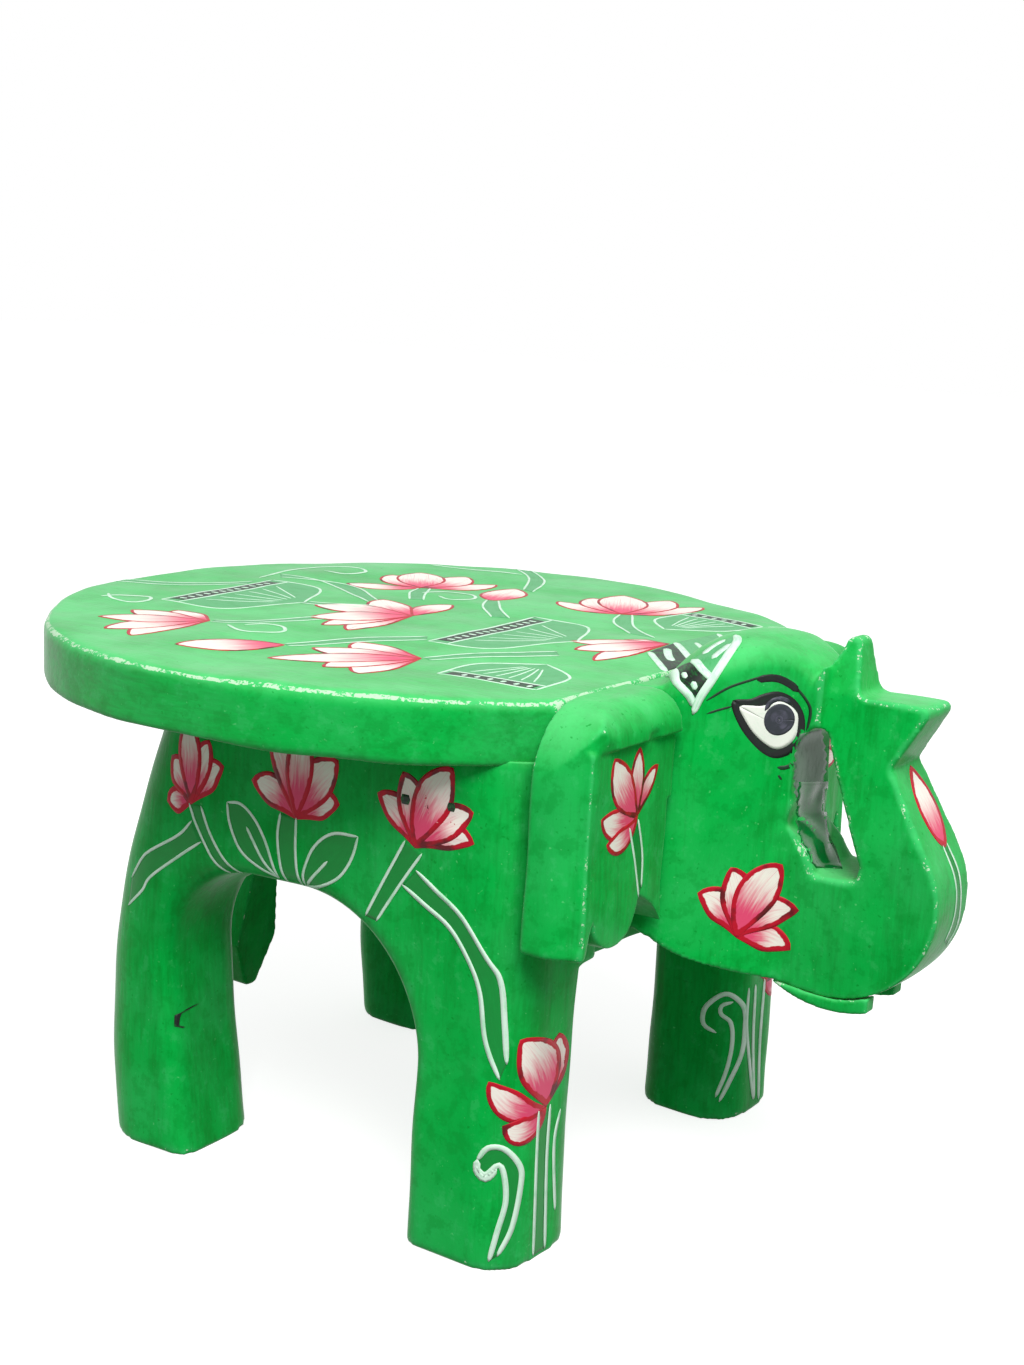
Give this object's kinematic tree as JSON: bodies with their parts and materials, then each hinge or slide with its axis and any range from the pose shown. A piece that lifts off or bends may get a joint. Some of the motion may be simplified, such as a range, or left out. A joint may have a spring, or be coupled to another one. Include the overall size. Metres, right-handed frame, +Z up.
{
  "type": "carved elephant stool",
  "caption": "Low painted wooden stool shaped as an elephant, with an oval seat board, arched legs, hanging ears, a raised trunk that closes a loop, and a tail.",
  "frame": {"origin": "middle of the base on the floor, half way between the tail end of the seat board and the front of the trunk", "axes": "+X from tail to trunk, +Y to the animal's left, +Z up"},
  "size_m": [0.368, 0.3, 0.22],
  "materials": {
    "painted_wood": "bright green enamel brushed over carved hardwood, semi-gloss, with painted lotus ornament",
    "bare_wood": "plain turned hardwood dowel",
    "nail_steel": "plain wire nail, heads punched flush and painted over"
  },
  "bodies": {
    "root": {"seat_board": "painted_wood", "side_panel_left": "painted_wood", "side_panel_right": "painted_wood", "belly_block": "painted_wood", "head_trunk": "painted_wood", "ear_left": "painted_wood", "ear_right": "painted_wood", "tusk_left": "painted_wood", "tusk_right": "painted_wood", "tail": "painted_wood", "seat_dowels": "bare_wood", "body_dowels": "bare_wood", "head_dowels": "bare_wood", "ear_dowels": "bare_wood", "tusk_pegs": "bare_wood", "tail_pegs": "bare_wood", "side_nails_left": "nail_steel", "side_nails_right": "nail_steel"}
  },
  "joints": []
}
